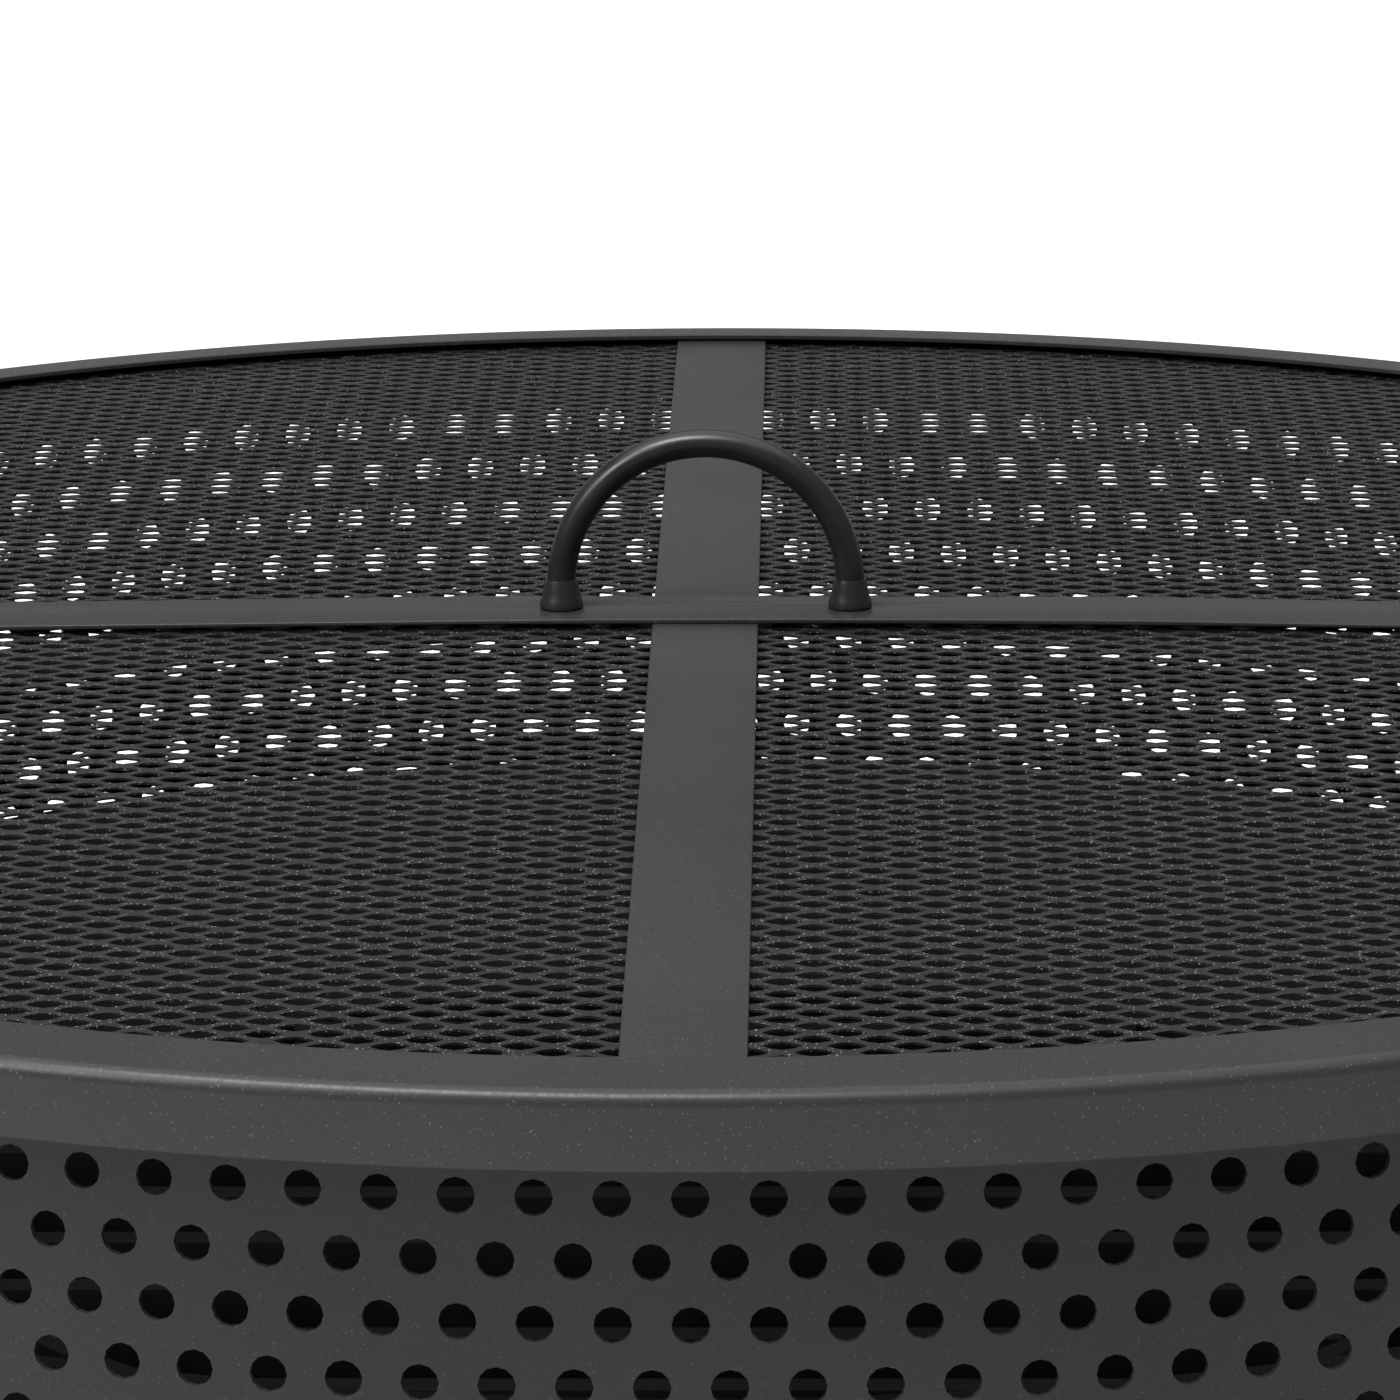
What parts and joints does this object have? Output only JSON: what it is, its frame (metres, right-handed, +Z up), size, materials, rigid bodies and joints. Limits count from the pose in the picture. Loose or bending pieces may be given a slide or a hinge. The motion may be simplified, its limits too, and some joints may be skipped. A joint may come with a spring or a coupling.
{
  "type": "fire pit with grate",
  "caption": "Round perforated steel fire pit on short legs with a lift-off domed spark screen, a lift-out fire bowl and a log grate.",
  "frame": {"origin": "on the ground under the centre of the drum", "axes": "+Z up, -Y the front; the handle and the upper strap run along X"},
  "size_m": [0.7619, 0.762, 0.4189],
  "materials": {
    "charcoal_coat": "fine-textured satin powder coat",
    "screen_coat": "satin powder coat on expanded steel",
    "satin_black": "satin black",
    "high_heat_black": "matt high-heat black",
    "dark_fixings": "dark plated steel"
  },
  "bodies": {
    "pit": {"drum_wall_front": "charcoal_coat", "drum_wall_back": "charcoal_coat", "rim_ring": "charcoal_coat", "ledge_ring": "charcoal_coat", "base_ring": "charcoal_coat", "base_plate": "charcoal_coat", "seam_strip_left": "charcoal_coat", "seam_strip_right": "charcoal_coat", "seam_rivets_left": "charcoal_coat", "seam_rivets_right": "charcoal_coat", "leg_1": "charcoal_coat", "leg_2": "charcoal_coat", "leg_3": "charcoal_coat", "leg_4": "charcoal_coat", "foot_pad_1": "satin_black", "foot_pad_2": "satin_black", "foot_pad_3": "satin_black", "foot_pad_4": "satin_black", "bowl_bracket_1": "charcoal_coat", "bowl_bracket_2": "charcoal_coat", "bowl_bracket_3": "charcoal_coat", "bowl_bracket_4": "charcoal_coat", "leg_bolts_1": "dark_fixings", "leg_bolts_2": "dark_fixings", "leg_bolts_3": "dark_fixings", "leg_bolts_4": "dark_fixings", "leg_nuts_1": "dark_fixings", "leg_nuts_2": "dark_fixings", "leg_nuts_3": "dark_fixings", "leg_nuts_4": "dark_fixings"},
    "fire_bowl": {"fire_bowl": "high_heat_black"},
    "log_grate": {"grate_ring": "high_heat_black", "grate_bar_1": "high_heat_black", "grate_bar_2": "high_heat_black", "grate_bar_3": "high_heat_black", "grate_bar_4": "high_heat_black", "grate_bar_5": "high_heat_black", "grate_bar_6": "high_heat_black", "grate_bar_7": "high_heat_black", "grate_bar_8": "high_heat_black", "grate_bar_9": "high_heat_black", "grate_cross_bar_left": "high_heat_black", "grate_cross_bar_right": "high_heat_black", "grate_foot_1": "high_heat_black", "grate_foot_2": "high_heat_black", "grate_foot_3": "high_heat_black", "grate_foot_4": "high_heat_black"},
    "lid": {"lid_ring": "charcoal_coat", "screen": "screen_coat", "strap_lower": "charcoal_coat", "strap_upper": "charcoal_coat", "handle_rod": "satin_black", "handle_ferrule_left": "satin_black", "handle_ferrule_right": "satin_black", "handle_washer_left": "dark_fixings", "handle_washer_right": "dark_fixings", "handle_screw_left": "dark_fixings", "handle_screw_right": "dark_fixings"}
  },
  "joints": [
    {"name": "lid_lift", "type": "slide", "parent": "pit", "child": "lid", "axis": [0, 0, 1], "range_m": [0, 0.35]},
    {"name": "bowl_lift", "type": "slide", "parent": "pit", "child": "fire_bowl", "axis": [0, 0, 1], "range_m": [0, 0.06]},
    {"name": "grate_lift", "type": "slide", "parent": "fire_bowl", "child": "log_grate", "axis": [0, 0, 1], "range_m": [0, 0.06]}
  ]
}
